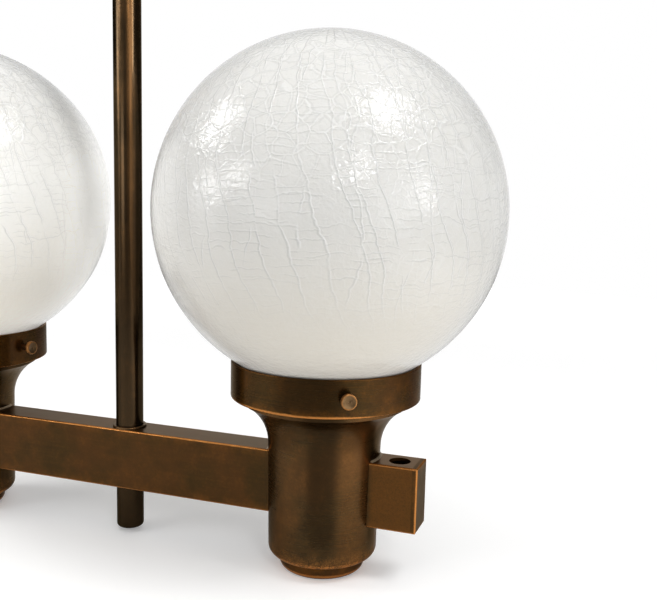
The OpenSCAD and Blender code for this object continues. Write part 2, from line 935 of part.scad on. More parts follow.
ceiling_bracket();
pivot_bolt();
pivot_nut();
stem_head();
canopy();
canopy_collar();
canopy_grub_screw();
terminal_block();
stem_cable();
stem_tube();
stem_end_plug();
stem_washer();
stem_screw();
bar();
end_plate(1);  // right_end_plate
end_plate(-1);  // left_end_plate
lead(1);  // right_lead
lead(-1);  // left_lead
cup(1);  // right_cup
foot(1);  // right_foot
threaded_tube(1);  // right_threaded_tube
nuts(1);  // right_nuts
gallery(1, right_screw_turn);  // right_gallery
lampholder(1);  // right_lampholder
screw_shell(1);  // right_screw_shell
contact(1);  // right_contact
bulb(1);  // right_bulb
bulb_cap(1);  // right_bulb_cap
globe(1);  // right_globe
thumb_screw(1, right_screw_turn);  // right_thumb_screw
cup(-1);  // left_cup
foot(-1);  // left_foot
threaded_tube(-1);  // left_threaded_tube
nuts(-1);  // left_nuts
gallery(-1, left_screw_turn);  // left_gallery
lampholder(-1);  // left_lampholder
screw_shell(-1);  // left_screw_shell
contact(-1);  // left_contact
bulb(-1);  // left_bulb
bulb_cap(-1);  // left_bulb_cap
globe(-1);  // left_globe
thumb_screw(-1, left_screw_turn);  // left_thumb_screw
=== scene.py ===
# %% [markdown]
# # A two-light pendant lamp in bronze and opal glass
#
# The lamp has a round stem, a flat bar, two turned cups and two opal globes with a raised crackle.
# The packed CAD model already holds each rigid piece at its right place and size. This lesson loads it as a
# fixed frame, gives each piece its finish, and models again the few pieces whose form shows more than the
# solid does: the blown globes and the turned thumb screws. Thin lines of braze beside the cups are added.
#
# All lengths are in metres. Z is up, X runs along the bar, and the origin is where the stem's centre line
# meets the ceiling.

# %% Load the frame
from math import asin, cos, pi, radians, sin, sqrt

import bmesh
import bpy
from mathutils import Matrix, Vector, noise


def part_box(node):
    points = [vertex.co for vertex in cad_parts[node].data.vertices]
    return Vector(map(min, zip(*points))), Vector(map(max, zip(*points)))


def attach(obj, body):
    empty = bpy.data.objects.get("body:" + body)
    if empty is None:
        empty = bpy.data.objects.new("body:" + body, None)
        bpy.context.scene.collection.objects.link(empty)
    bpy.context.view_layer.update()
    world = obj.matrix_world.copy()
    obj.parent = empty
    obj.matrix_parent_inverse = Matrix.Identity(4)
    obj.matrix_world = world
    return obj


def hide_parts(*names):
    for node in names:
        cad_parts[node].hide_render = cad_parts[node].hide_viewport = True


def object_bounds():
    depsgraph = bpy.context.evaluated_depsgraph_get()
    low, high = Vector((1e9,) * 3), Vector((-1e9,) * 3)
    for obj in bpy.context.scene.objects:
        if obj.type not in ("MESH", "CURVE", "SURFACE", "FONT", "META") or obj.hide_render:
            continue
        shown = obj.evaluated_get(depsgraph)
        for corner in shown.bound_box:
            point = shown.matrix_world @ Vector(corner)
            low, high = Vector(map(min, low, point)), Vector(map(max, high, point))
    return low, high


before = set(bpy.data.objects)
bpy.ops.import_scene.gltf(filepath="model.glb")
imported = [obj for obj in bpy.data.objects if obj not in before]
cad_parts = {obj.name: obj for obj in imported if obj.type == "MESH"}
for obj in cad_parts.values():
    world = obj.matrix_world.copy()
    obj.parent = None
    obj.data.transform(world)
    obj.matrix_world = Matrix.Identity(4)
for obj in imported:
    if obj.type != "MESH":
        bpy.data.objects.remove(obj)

cad_low, cad_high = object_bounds()
print("The CAD model reaches from", [round(v, 4) for v in cad_low], "to", [round(v, 4) for v in cad_high])

# %% [markdown]
# ## Where things are
#
# Each CAD node can say where it lies, so most places are read from the frame. Only what a box can't tell,
# such as a radius inside it or the turn of a screw, is given again as a number, in the cell that needs it.

# %% Places and sizes read from the frame
bar_low, bar_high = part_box("bar")
cup_low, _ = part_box("right_cup")
ring_low, ring_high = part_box("right_gallery")
globe_low, globe_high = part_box("right_globe")
foot_low, foot_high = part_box("right_foot")
plate_low, plate_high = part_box("right_end_plate")
_, washer_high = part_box("stem_washer")

SIDES = {"right": 1, "left": -1}
ARM = (globe_low.x + globe_high.x) / 2       # from the stem's centre line to a cup's centre line
BAR_TOP, BAR_HALF_W, BAR_HALF_H = bar_high.z, bar_high.y, (bar_high.z - bar_low.z) / 2
PLATE_HALF_H = (plate_high.z - plate_low.z) / 2
RING_R, FOOT_R = (ring_high.y - ring_low.y) / 2, (foot_high.y - foot_low.y) / 2
FLOOR_Z = cad_low.z
GLOBE_R = (globe_high.x - globe_low.x) / 2
GLOBE_Z = globe_high.z - GLOBE_R
print(f"Arm {ARM:.4f}, bar top {BAR_TOP:.4f}, globe radius {GLOBE_R:.4f} with its centre at {GLOBE_Z:.4f}")

# %% [markdown]
# ## The camera
#
# The photograph was taken from a little right of the lamp's front, close by, with a slightly long lens. The
# camera's place was found by matching the outlines of the globe, ring, bar and stem. A camera matrix holds
# the directions of its right, up and back sides in its columns, so those three are worked out and put in.

# %% Set up the camera
EYE = Vector((0.29776, -0.4665, -0.55638))
YAW, PITCH, ROLL = 0.34055743, -0.132515, 0.023658       # radians
FOCAL_PIXELS, PICTURE_WIDTH, SENSOR_MM = 869.41, 657, 36

ahead = Vector((-sin(YAW) * cos(PITCH), cos(YAW) * cos(PITCH), sin(PITCH)))
level_right = Vector((cos(YAW), sin(YAW), 0))
level_up = level_right.cross(ahead)
right = cos(ROLL) * level_right + sin(ROLL) * level_up
up = cos(ROLL) * level_up - sin(ROLL) * level_right

lens = bpy.data.cameras.new("photo_lens")
lens.sensor_fit, lens.sensor_width = "HORIZONTAL", SENSOR_MM
lens.lens = SENSOR_MM * (FOCAL_PIXELS / PICTURE_WIDTH)
camera = bpy.data.objects.new("photo_camera", lens)
camera.matrix_world = Matrix.Translation(EYE) @ Matrix((right, up, -ahead)).transposed().to_4x4()
bpy.context.collection.objects.link(camera)
bpy.context.scene.camera = camera
print(f"Camera with a {lens.lens:.1f} mm lens at {tuple(round(v, 3) for v in EYE)}")

# %% [markdown]
# ## Numbers in a material
#
# A procedural material is a sum of many small steps, and each step is a node. To keep such sums readable,
# `Number` wraps the output of a node, and Python's own plus, minus and times then add the Math nodes. Its
# `fade` is used most of all: it turns a distance or a noise into a soft mask between 0 and 1.

# %% A number that varies over a surface
class Number:
    """The output of a node. Plain arithmetic on it adds Math nodes to its material."""

    def __init__(self, finish, socket):
        self.finish, self.socket = finish, socket

    def maths(self, operation, *values):
        return self.finish.add("ShaderNodeMath", {"operation": operation}, dict(enumerate(values)))

    def __add__(self, other):
        return self.maths("ADD", self, other)

    def __sub__(self, other):
        return self.maths("SUBTRACT", self, other)

    def __rsub__(self, other):
        return self.maths("SUBTRACT", other, self)

    def __mul__(self, other):
        return self.maths("MULTIPLY", self, other)

    def __truediv__(self, other):
        return self.maths("DIVIDE", self, other)

    def __abs__(self):
        return self.maths("ABSOLUTE", self)

    __radd__, __rmul__ = __add__, __mul__

    def least(self, other):
        return self.maths("MINIMUM", self, other)

    def most(self, other):
        return self.maths("MAXIMUM", self, other)

    def root(self):
        return self.maths("SQRT", self)

    def sine(self):
        return self.maths("SINE", self)

    def angle_to(self, other):
        return self.maths("ARCTAN2", self, other)

    def fade(self, start, end):
        """0 at start and 1 at end, smoothly, whichever of the two is larger."""
        low, high, first, last = (start, end, 0, 1) if start < end else (end, start, 1, 0)
        return self.finish.add(
            "ShaderNodeMapRange", {"interpolation_type": "SMOOTHSTEP"},
            {"Value": self, "From Min": low, "From Max": high, "To Min": first, "To Max": last},
        )


print("Steps that a number can take:", [name for name in vars(Number) if not name.startswith("_")])

# %% [markdown]
# ## A tree of nodes
#
# `Nodes` is a node tree, whose `add` makes any node: the settings first, then the values or links of its
# sockets. `Finish` is the tree of one material, with the coordinates of the object at hand. The world of the
# studio is a tree too, so it uses the plain `Nodes`.

# %% Nodes, and one finish of the lamp
class Nodes:
    """A node tree and the ways to add to it."""

    def __init__(self, tree):
        self.tree = tree

    def add(self, kind, settings=None, inputs=None, out=0):
        node = self.tree.nodes.new(kind)
        for name, value in (settings or {}).items():
            setattr(node, name, value)
        for socket, value in (inputs or {}).items():
            if isinstance(value, Number):
                self.tree.links.new(value.socket, node.inputs[socket])
            else:
                node.inputs[socket].default_value = value
        return Number(self, node.outputs[out] if len(node.outputs) else None)


class Finish(Nodes):
    """A material with one main shader. Coordinates are the object's own, in metres."""

    def __init__(self, name, **constants):
        self.material = bpy.data.materials.new(name)
        self.material.use_nodes = True
        super().__init__(self.material.node_tree)
        self.shader = self.tree.nodes["Principled BSDF"]
        for socket, value in constants.items():
            self.shader.inputs[socket.replace("_", " ")].default_value = value
        self.place = self.add("ShaderNodeTexCoord", out="Object")
        self.x, self.y, self.z = (
            self.add("ShaderNodeSeparateXYZ", {}, {0: self.place}, out=axis) for axis in "XYZ")

    def cloud(self, size, detail=3, rough=0.5, stretch=(1, 1, 1), shift=0.0):
        """Soft noise round 0.5, in patches about size across."""
        moved = self.add("ShaderNodeMapping", {"vector_type": "POINT"},
                         {"Vector": self.place, "Location": (shift,) * 3, "Scale": stretch})
        return self.add("ShaderNodeTexNoise", {},
                        {"Vector": moved, "Scale": 1 / size, "Detail": detail, "Roughness": rough}, out="Fac")

    def blend(self, share, first, second):
        """A colour between two, where share runs from 0 to 1."""
        rgb = {6: first if isinstance(first, Number) else (*first, 1),
               7: second if isinstance(second, Number) else (*second, 1)}
        return self.add("ShaderNodeMix", {"data_type": "RGBA"}, {0: share, **rgb}, out=2)

    def bump(self, height):
        """The normal of a surface with this height, in metres."""
        return self.add("ShaderNodeBump", {}, {"Height": height, "Distance": 1.0, "Strength": 1.0})

    def wear(self, **fields):
        """Feeds the fields that change over the surface to the shader, and gives the material."""
        for name, field in fields.items():
            self.tree.links.new(field.socket, self.shader.inputs[name.replace("_", " ")])
        return self.material


def paint(material, slot, *names):
    """Gives CAD nodes a finish, which takes the place of the plain one that they came with."""
    for name in names:
        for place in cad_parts[name].material_slots:
            place.material = material


print("Ready to mix finishes for", len(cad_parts), "nodes")

# %% [markdown]
# ## The paper
#
# The lamp stands on white paper in front of a white background. Bronze looks flat in a room that is white
# all round, so the paper ends in the dark, and only the camera sees it run on into the white. Two pools of
# light on the paper, which the camera doesn't see, stand for the lit floor that shines up at the cups.

# %% The floor
PAPER_R, PAPER_STEPS = 1.5, 96
PAPER, PAPER_SEEN, PAPER_END = 0.66, 0.90, 0.02      # its tone for the lamp, for the camera and far out
WHITE, LIFT = 1.02, 0.19                             # its glow far out, and the share of it near the lamp
RIGHT_POOL, LEFT_POOL = 0.75, 0.05

bm = bmesh.new()
bmesh.ops.create_circle(bm, cap_ends=True, radius=PAPER_R, segments=PAPER_STEPS)
bmesh.ops.translate(bm, verts=bm.verts, vec=(0, 0, FLOOR_Z))
floor_mesh = bpy.data.meshes.new("floor")
bm.to_mesh(floor_mesh)
bm.free()
floor = bpy.data.objects.new("floor", floor_mesh)
bpy.context.collection.objects.link(floor)


def spot_on(sheet, x, y, inner, outer):
    """1 within the inner distance of a point on the floor, and 0 beyond the outer one."""
    off_x, off_y = sheet.x - x, sheet.y - y
    return (off_x * off_x + off_y * off_y).root().fade(outer, inner)


paper = Finish("white_paper", Roughness=0.6, Specular_IOR_Level=0.2, Emission_Strength=WHITE)
away = spot_on(paper, 0, 0, inner=1.25, outer=0.45)      # turned round: 0 near the lamp and 1 far out
to_camera = paper.add("ShaderNodeLightPath", out="Is Camera Ray")
lift = to_camera * (LIFT + away * (1 - LIFT))
right_pool = spot_on(paper, 0.56, -0.08, inner=0.10, outer=0.40) * RIGHT_POOL
left_pool = spot_on(paper, -0.22, -0.14, inner=0.06, outer=0.26) * LEFT_POOL
sheet_white = paper.blend(to_camera, (PAPER,) * 3, (PAPER_SEEN,) * 3)
floor_mesh.materials.append(paper.wear(
    Base_Color=paper.blend(away, sheet_white, (PAPER_END,) * 3),
    Emission_Color=lift + (1 - to_camera) * (right_pool + left_pool)))
print("Paper at", round(FLOOR_Z, 4), "and", 2 * PAPER_R, "metres wide")

# %% [markdown]
# ## The room
#
# Camera rays see a white world. Everything else meets a dim room with a bright backdrop behind the lamp, a
# bright ceiling and a dimmer front, which the bronze needs to show its roundness. The world's coordinates are
# directions, so each bright part is a mask of where a ray goes.

# %% The world
SIDE_GLOW, FRONT_GLOW, BACK_GLOW, TOP_GLOW = 0.05, 0.30, 0.80, 0.86
world = bpy.data.worlds.new("studio_room")
bpy.context.scene.world = world
world.use_nodes = True
world.node_tree.nodes.clear()
room = Nodes(world.node_tree)
ray = room.add("ShaderNodeTexCoord", out="Generated")
to_x, to_y, to_z = (room.add("ShaderNodeSeparateXYZ", {}, {0: ray}, out=a) for a in "XYZ")
onward = to_x * ahead.x + to_y * ahead.y
backdrop = onward.fade(0.82, 0.96) * to_z.fade(0.6, 0.3)
front = onward.fade(-0.2, -0.8) * to_z.fade(0.02, 0.2)
glow = (SIDE_GLOW + backdrop * (BACK_GLOW - SIDE_GLOW) + front * (FRONT_GLOW - SIDE_GLOW)
        + to_z.fade(0.45, 0.9) * (TOP_GLOW - SIDE_GLOW))
seen = room.add("ShaderNodeLightPath", out="Is Camera Ray")
sheet = room.add("ShaderNodeBackground", {}, {"Color": (1, 1, 1, 1), "Strength": glow.most(seen)})
room.add("ShaderNodeOutputWorld", {}, {"Surface": sheet})
view = bpy.context.scene.view_settings
view.view_transform, view.look, view.exposure, view.gamma = "Standard", "None", 0.0, 1.0
print("A room of brightness", SIDE_GLOW, "to", TOP_GLOW)

# %% [markdown]
# ## The soft lamps
#
# The reflections in the glass show where the photographer's lamps were, how large and how bright. Two more
# sheets, one on each side, give the round bronze its light edges. An area light of Blender's is given a
# power, so each sheet's power is worked out from its size and from how bright it should look.

# %% Hang the soft lamps
LAMPS = {      # name: place, width, height and brightness
    "high_right_lamp": ((0.92, -0.17, 0.73), 0.46, 0.50, 12),
    "front_right_lamp": ((0.98, -1.13, 0.14), 0.26, 0.36, 12),
    "side_right_lamp": ((1.61, -0.37, -0.24), 0.30, 0.44, 9),
    "high_left_lamp": ((-1.07, -0.32, 0.34), 0.36, 0.52, 10),
    "front_left_lamp": ((-0.79, -1.17, -0.08), 0.36, 0.26, 8),
    "side_left_lamp": ((-1.14, -0.86, -0.27), 0.50, 0.22, 6),
    "low_front_lamp": ((-0.34, -1.48, -0.53), 0.62, 0.22, 3),
    "right_strip": ((1.10, -0.68, -0.50), 0.50, 0.60, 1.6),
    "left_strip": ((-0.85, -0.62, -0.50), 0.50, 0.60, 1.2),
}


def soft_lamp(name, middle, width, height, radiance):
    """A flat glowing sheet that faces the right globe."""
    sheet = bpy.data.lights.new(name, "AREA")
    sheet.shape, sheet.size, sheet.size_y = "RECTANGLE", width, height
    sheet.energy = radiance * pi * width * height
    lamp = bpy.data.objects.new(name, sheet)
    middle = Vector(middle)
    turn = (middle - Vector((ARM, 0, GLOBE_Z))).to_track_quat("Z", "Y").to_matrix().to_4x4()
    lamp.matrix_world = Matrix.Translation(middle) @ turn
    lamp.visible_camera = False
    bpy.context.collection.objects.link(lamp)


for name, measures in LAMPS.items():
    soft_lamp(name, *measures)
print("Lamps:", list(LAMPS))

# %% [markdown]
# ## The tones of the patina
#
# The bronze is dark brown with cloudy patches, from nearly black over olive to amber. The cups are a little
# greyer than the bar, and the stem is greyer still. The clouds come from noises of several sizes, and each
# tone is laid on where a mix of them is high or low.

# %% Tones and clouds
TONES = {"dark": (0.026, 0.014, 0.005), "brown": (0.077, 0.033, 0.008),
         "olive": (0.050, 0.028, 0.007), "amber": (0.165, 0.062, 0.011)}
CUP_TONES = {"dark": (0.027, 0.015, 0.006), "brown": (0.082, 0.040, 0.013),
             "olive": (0.056, 0.036, 0.013), "amber": (0.172, 0.073, 0.019)}
STEM_TONES = {"dark": (0.020, 0.013, 0.006), "brown": (0.090, 0.055, 0.026),
              "olive": (0.062, 0.041, 0.021), "amber": (0.250, 0.118, 0.040)}
BRIGHT = (0.66, 0.26, 0.065)            # bare metal on the rubbed edges
PATCH, SPOT, GRAIN, SPECK, STROKE = 0.035, 0.009, 0.0016, 0.0008, 0.0022      # sizes of the noises


def patina(look, noises, tones, warm, mottle):
    """The clouds of the four tones, with amber where warm says so: polish marks, and on some pieces painted
    light.
    """
    patches, spots, grain, specks, polish = noises
    colour = look.blend(patches.fade(0.36, 0.62), tones["olive"], tones["brown"])
    rusty = (0.45 * spots + 0.30 * patches + 0.25 * grain).fade(0.50, 0.66)
    colour = look.blend(rusty * (0.55 * mottle), colour, tones["amber"])
    sooty = ((1 - spots) * 0.4 + 0.4 * (1 - patches) + 0.2 * specks).fade(0.47, 0.66)
    colour = look.blend(sooty * (0.7 * mottle), colour, tones["dark"])
    # The amber here is polish marks, plus painted light where warm is high on the cups, rings and stem.
    amber_polish_and_light = (polish * 0.5 + grain * 0.5).fade(0.45, 0.72) * 0.26 + warm
    return look.blend(amber_polish_and_light * (0.35 + specks.fade(0.25, 0.6) * 0.65), colour, tones["amber"])


print("Bronze tones:", TONES)

# %% [markdown]
# ## The bronze recipe
#
# Hands and cloths have rubbed the patina off the edges, down to bright metal with a halo of amber. The polish
# is satin, with strokes that follow how each piece was made. One function mixes it all. What differs from
# piece to piece is handed over as small functions: the distance to its edge, and where it is warm or dark.

# %% Mix the bronze
def bronze(name, edge, streaks=(1, 1, 1), rub=0.0012, warm=0.0, pitted=None, shade=None,
           mottle=1.0, rough=0.33, tones=TONES, glance=(1.0, 0.86, 0.70), bumps=1.0):
    """edge gives the distance to the nearest rubbed edge, rub its width, and streaks the polish's direction.

    warm says where amber shows, partly as painted light on the cups, rings and stem, pitted where bare metal
    shows in specks, and shade where it is darker, as painted shade on the cups, rings, plates and stem.
    mottle is how cloudy it is, glance its tint where it is seen at a low angle, and bumps how uneven it is.
    """
    look = Finish(name, Coat_Roughness=0.12, Coat_IOR=1.45, Specular_IOR_Level=0.4)
    look.shader.inputs["Specular Tint"].default_value = (*glance, 1)
    patches = look.cloud(PATCH, detail=6, rough=0.62)
    spots = look.cloud(SPOT, detail=5, rough=0.68, shift=3.1)
    grain = look.cloud(GRAIN, detail=4, rough=0.7, shift=5.7)
    specks = look.cloud(SPECK, detail=3, rough=0.7, shift=8.3)
    polish = look.cloud(STROKE, detail=3, rough=0.6, stretch=streaks, shift=1.3)
    warm = warm(look) if callable(warm) else warm
    brown = patina(look, (patches, spots, grain, specks, polish), tones, warm, mottle)
    coat = 0.07 + grain * 0.05
    # Painted shade: it darkens the colour and thins the clear coat where shade says so.
    if shade:
        shaded = (shade(look) + (patches - 0.5) * 0.5).fade(0.2, 1.0)
        brown, coat = look.blend(shaded * 0.75, brown, tones["dark"]), coat * (1 - shaded * 0.85)

    uneven = (patches - 0.5) * 0.0012 + (spots - 0.5) * 0.0011 + (specks - 0.5) * 0.0008
    reach = edge(look) + uneven * mottle
    rubbed = reach.fade(rub, rub * 0.25)
    halo = reach.fade(rub * 5, rub * 0.5) * spots.fade(0.35, 0.65) * 0.55
    colour = look.blend(halo, brown, tones["amber"])
    if pitted:
        worn = pitted(look) * (0.55 * specks + 0.45 * spots).fade(0.44, 0.62)
        colour = look.blend((worn * 0.45).least(0.9), colour, BRIGHT)
    colour = look.blend(rubbed * 0.85, colour, BRIGHT)

    satin = (polish - 0.5) * 0.12 + (patches - 0.5) * 0.14 - rubbed * 0.06 + rough
    height = (polish * 0.000006 + grain * 0.000009 + spots * 0.000012) * bumps
    return look.wear(Base_Color=colour, Roughness=satin, Metallic=0.92 - patches * 0.08,
                     Coat_Weight=coat, Normal=look.bump(height))


print("Noises of", [PATCH, SPOT, GRAIN, SPECK, STROKE], "metres make the bronze")

# %% [markdown]
# ## Sides of a turned piece
#
# Painted light and shade lie on one side of a cup or ring, and of the stem. The side is the angle round the
# centre line, which the arc tangent of two coordinates gives. X is taken without its sign, so both cups share
# one finish and mirror each other, and their angles count from straight ahead to the outside, in degrees.

# %% Which way a surface faces
def facing(look, from_angle, width):
    """1 where a cup's side faces from_angle, and 0 beyond width to either side of it."""
    turn = (abs(look.x) - ARM).angle_to(0 - look.y)
    return abs(turn - radians(from_angle)).fade(radians(width), radians(0.25 * width))


def stem_side(look, from_angle, width):
    """The same round the stem's own centre line, counted from straight ahead to the right."""
    turn = look.x.angle_to(0 - look.y)
    return abs(turn - radians(from_angle)).fade(radians(width), radians(0.3 * width))


print("Angles run from straight ahead to the outside")

# %% [markdown]
# ## Where the bronze is rubbed
#
# A point on the surface of a box lies on one face, so its distance to that face is zero and the second
# smallest distance is the one to the nearest edge. On a turned piece the edge is a circle, and the distance
# is worked out in the plane of the radius and the height.

# %% Distances to the edges
CUP_LIP_R, CUP_LIP_UP = 0.0287, 0.0003         # the rubbed line low on a cup
FOOT_STEP_IN, FOOT_STEP_UP = 0.0005, 0.0020    # the lower of a foot's two rubbed lines
STEM_EDGE_OFF = 0.02                           # keeps stem and canopy out of the rub's reach


def to_circle(look, r, z):
    """Distance to a circle round the cup's centre line."""
    out = abs(look.x) - ARM
    off, rise = (out * out + look.y * look.y).root() - r, look.z - z
    return (off * off + rise * rise).root()


def bar_edge(look):
    return (BAR_HALF_W - abs(look.y)).most(BAR_HALF_H - abs(look.z - (BAR_TOP - BAR_HALF_H)))


def plate_edge(look):
    to_end, to_side = plate_high.x - abs(look.x), BAR_HALF_W - abs(look.y)
    to_top = PLATE_HALF_H - abs(look.z - (plate_high.z - PLATE_HALF_H))
    return to_end.least(to_side).most(to_end.most(to_side).least(to_top))


def ring_edge(look):
    """The lower edge, which is rubbed most at the front."""
    return to_circle(look, RING_R, ring_low.z) - 0.0006 + (1 - facing(look, -8, 75)) * 0.0011


def cup_edge(look):
    return to_circle(look, CUP_LIP_R, cup_low.z + CUP_LIP_UP) - 0.0002


def foot_edge(look):
    lower = to_circle(look, FOOT_R - FOOT_STEP_IN, foot_low.z + FOOT_STEP_UP)
    return to_circle(look, FOOT_R, foot_high.z).least(lower)


def washer_edge(look):
    across = (look.x * look.x + look.y * look.y).root() - washer_high.x
    rise = look.z - washer_high.z
    return (across * across + rise * rise).root() + 0.0002


def stem_edge(look):
    return look.z - FLOOR_Z + STEM_EDGE_OFF


print(f"Rubbed rings: gallery {RING_R:.4f}, cup {CUP_LIP_R:.4f}, foot {FOOT_R:.4f}")

# %% [markdown]
# ## Where the bronze is painted lighter or darker
#
# The cups carry painted shade, as dark reflections, a little outwards of their middle and on both edges, and
# painted light between, over warm strokes of polish. The rings carry painted shade in front and on the inner
# side, and painted light on their top face, where the globe shades it. The end plates carry painted shade on
# their outer face. The lower edge of the cups is worn in specks. Each of these is a mask that the recipe
# takes.

# %% Painted light and shade, and warm and dark places, on the cups, rings, feet and bar
# Painted shade: dark reflections a little outwards of the cup's middle and on both edges, fading out at the
# bottom.
def cup_painted_shade(look):
    sides = facing(look, 18, 26).most(facing(look, -62, 30)).most(facing(look, 80, 14))
    return sides * (look.z - cup_low.z).fade(0.003, 0.020) * 0.85


# Painted light: bright reflections on both sides of the cup's middle, over a little warm patina everywhere.
def cup_light_and_warmth(look):
    return facing(look, 52, 28) * 0.45 + facing(look, -24, 22) * 0.25 + 0.04


def cup_low_wear(look):
    rise = look.z - cup_low.z
    return rise.fade(0.012, 0.0) * 0.95 + rise.fade(0.0040, 0.0014) * 3.8


# Painted shade: dark reflections in front of the ring and on its inner side.
def ring_painted_shade(look):
    return facing(look, 10, 30).most(facing(look, -52, 20) * 1.3)


# Painted light on the ring's top face, where the globe shades it, over a little warm patina everywhere.
def ring_top_light_and_warmth(look):
    return look.z.fade(ring_high.z - 0.0006, ring_high.z - 0.0001) * 0.7 + 0.03


def foot_shade(look):
    step, under_cup = (look.z - foot_low.z).fade(0.0020, 0.0045), (foot_high.z - look.z).fade(0.0002, 0.0014)
    return step * under_cup * 0.7


# Painted shade on the outer face of the end plates.
def plate_painted_shade(look):
    return abs(look.x).fade(plate_high.x - 0.0008, plate_high.x - 0.0002) * 0.75


def block_warmth(look):
    """The short end of the bar beyond a cup is warmer than the rest."""
    return abs(look.x).fade(ARM + 0.030, ARM + 0.034) * 0.55 + 0.04


print("Masks for cups, rings, feet and bar")

# %% [markdown]
# ## Painted light and shade on the stem
#
# The stem is darker towards the bar, and a painted shadow lies on it below the bar. A painted warm reflection
# runs down it a little right of the middle, with painted shade as dark reflections on both sides of that.

# %% Painted light and shade on the stem
# Painted shade: dark reflections on both sides of the stem, and the bar's shadow on it below the bar; it is
# also darker towards the bar.
def stem_painted_shade(look):
    low_part = look.z.fade(BAR_TOP + 0.24, BAR_TOP + 0.02) * 0.7
    tail = look.z.fade(BAR_TOP + 0.002, BAR_TOP - 0.002) * 0.6
    return low_part + stem_side(look, -36, 36) * 1.1 + stem_side(look, 76, 20) * 0.7 + tail


# Painted reflection: a warm bright line a little right of the stem's middle, over a little warm patina
# everywhere.
def stem_reflection_and_warmth(look):
    return stem_side(look, 40, 17) * look.z.fade(BAR_TOP + 0.03, BAR_TOP + 0.26) * 0.85 + 0.05


print("The stem darkens below", round(BAR_TOP + 0.24, 3))

# %% [markdown]
# ## Painting the bronze
#
# Each piece gets its own mix. The strokes of polish run round the turned pieces, along the bar in X and along
# the stem in Z, so the noise of the strokes is stretched that way.

# %% Paint the bronze pieces
TURNED, DRAWN_X, DRAWN_Z, PLATE_FILED = (0.06, 0.06, 1.6), (0.05, 1.2, 1.2), (1.2, 1.2, 0.04), (1, 1, 0.3)
bar_bronze = bronze("bar_bronze", bar_edge, DRAWN_X, warm=block_warmth, mottle=0.5)
paint(bar_bronze, "dark_bronze", "bar")
plate_bronze = bronze("plate_bronze", plate_edge, PLATE_FILED, warm=0.10, shade=plate_painted_shade, mottle=0.6,
                      rough=0.40, glance=(0.76, 0.65, 0.51))
paint(plate_bronze, "dark_bronze", "right_end_plate", "left_end_plate")
ring_bronze = bronze("ring_bronze", ring_edge, TURNED, warm=ring_top_light_and_warmth, shade=ring_painted_shade, rough=0.28,
                     glance=(0.55, 0.46, 0.36))
paint(ring_bronze, "dark_bronze", "right_gallery", "left_gallery")
cup_bronze = bronze("cup_bronze", cup_edge, TURNED, warm=cup_light_and_warmth, pitted=cup_low_wear, shade=cup_painted_shade,
                    mottle=1.1, rough=0.29, tones=CUP_TONES, glance=(0.72, 0.61, 0.49))
paint(cup_bronze, "dark_bronze", "right_cup", "left_cup")
foot_bronze = bronze("foot_bronze", foot_edge, TURNED, rub=0.0016, warm=0.45, shade=foot_shade, mottle=1.2)
paint(foot_bronze, "dark_bronze", "right_foot", "left_foot")
stem_bronze = bronze("stem_bronze", stem_edge, DRAWN_Z, warm=stem_reflection_and_warmth, shade=stem_painted_shade, mottle=0.5,
                     rough=0.22, tones=STEM_TONES, glance=(0.52, 0.48, 0.42), bumps=0.2)
paint(stem_bronze, "dark_bronze", "stem_tube", "stem_end_plug", "stem_head")
canopy_bronze = bronze("canopy_bronze", stem_edge, TURNED, mottle=0.6)
paint(canopy_bronze, "dark_bronze", "canopy", "canopy_collar")
washer_bronze = bronze("washer_bronze", washer_edge, rub=0.0003, mottle=0.5, tones=STEM_TONES)
paint(washer_bronze, "dark_bronze", "stem_washer")
print("Bronze pieces painted")

# %% [markdown]
# ## Small metal and ceramic pieces
#
# Screws, nuts, sockets and bulbs hide behind the glass until a globe is lifted. They still get real finishes:
# a rubbed bronze for the small screws, zinc, brass, glazed porcelain, plastic and cable sheath. Two recipes
# serve them all, one for metal and one for smooth surfaces.

# %% Recipes for the small pieces
def metal(name, colour, tarnish, roughness, thread=None, bare=None):
    """A plain metal with a little tarnish, the ridges of a thread if a pitch is given, and bare places."""
    look = Finish(name, Metallic=1.0)
    dull = look.cloud(0.004, detail=5, rough=0.65)
    fine = look.cloud(0.0008, detail=3, rough=0.6, shift=2.2)
    height = fine * 0.000008
    if thread:
        height = height + (look.z * (2 * pi / thread)).sine() * thread * 0.16
    skin = look.blend(dull.fade(0.45, 0.75), colour, tarnish)
    if bare:
        skin = look.blend(bare(look) * (0.6 + 0.4 * dull), skin, BRIGHT)
    return look.wear(Base_Color=skin, Roughness=roughness + (dull - 0.5) * 0.2, Normal=look.bump(height))


def glaze(name, colour, shade, roughness, mottle):
    """A smooth ceramic, plastic or rubber surface, slightly uneven in colour."""
    look = Finish(name, Specular_IOR_Level=0.5)
    tone = look.cloud(mottle, detail=4, rough=0.55)
    return look.wear(Base_Color=look.blend(tone.fade(0.35, 0.7), colour, shade),
                     Roughness=roughness + (tone - 0.5) * 0.12,
                     Normal=look.bump(tone * 0.00006 + look.cloud(0.0009, shift=4.0) * 0.000006))


def frosted_bulb():
    """White frosted glass: light gets through, but nothing behind it shows."""
    look = Finish("frosted_glass", IOR=1.46, Subsurface_Weight=0.5, Subsurface_Scale=0.004)
    look.shader.inputs["Subsurface Radius"].default_value = (1, 1, 1)
    frost = look.cloud(0.0012, detail=3, rough=0.6)
    tone = look.cloud(0.03, detail=2, shift=6.0)
    return look.wear(Base_Color=look.blend(tone, (0.86, 0.86, 0.84), (0.80, 0.80, 0.77)),
                     Roughness=0.42 + (frost - 0.5) * 0.15, Normal=look.bump(frost * 0.00002))


print("Recipes for metal, glaze and frosted glass")

# %% [markdown]
# ## Painting the small pieces
#
# The threads are too fine to model in the solids, so the rods and the sockets' shells get theirs as relief:
# a sine wave along Z with about the pitch of the real thread.

# %% Paint the small pieces
BRASS, BRASS_TARNISH = (0.72, 0.50, 0.20), (0.42, 0.27, 0.10)
ROD_PITCH, SHELL_PITCH = 0.001, 0.0036


def worn_all_over(look):
    """A screw is too small to have one rubbed edge, so a noise says where it is bare."""
    return look.cloud(0.006, shift=8.0) * 0.006


